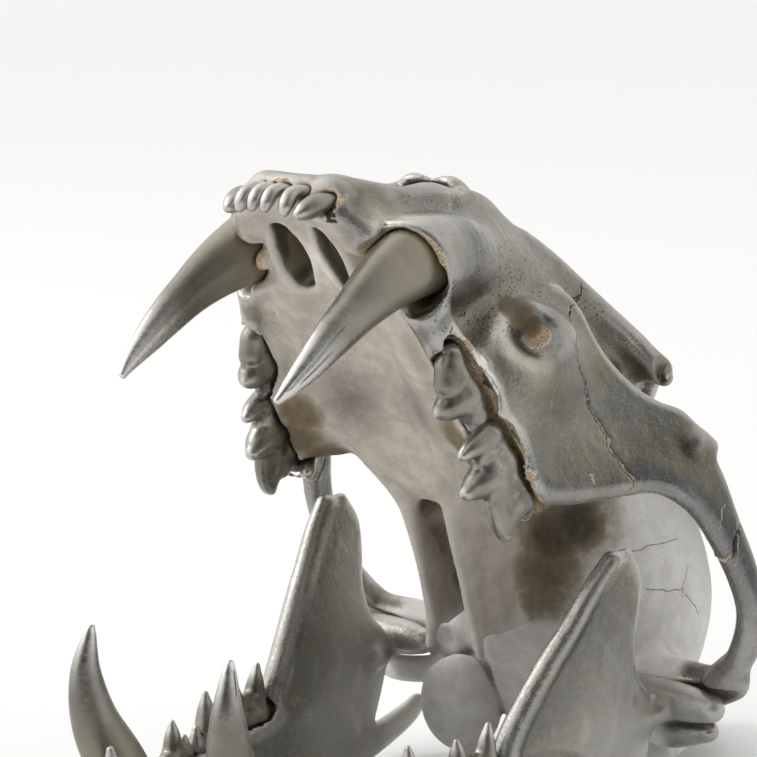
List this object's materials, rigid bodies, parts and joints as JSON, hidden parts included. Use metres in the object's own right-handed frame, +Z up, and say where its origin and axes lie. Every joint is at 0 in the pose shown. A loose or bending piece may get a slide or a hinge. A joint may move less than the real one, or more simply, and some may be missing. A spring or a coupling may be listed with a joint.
{
  "type": "leopard skull",
  "caption": "Big cat's skull with its lower jaw wide open, silver coated, with long curved canines, cheek arches, eye sockets and a crest along the top of the braincase.",
  "frame": {"origin": "on the floor, under the middle of the skull's bounding box", "axes": "+Z up, -Y towards the snout, +X towards the animal's left"},
  "size_m": [0.1474, 0.2274, 0.1739],
  "materials": {
    "bone": "satin",
    "tooth": "satin"
  },
  "bodies": {
    "root": {"cranium": "bone", "zygomatic_left": "bone", "zygomatic_right": "bone", "mandible_left": "bone", "mandible_right": "bone", "upper_canine_left": "tooth", "upper_canine_right": "tooth", "lower_canine_left": "tooth", "lower_canine_right": "tooth"}
  },
  "joints": []
}
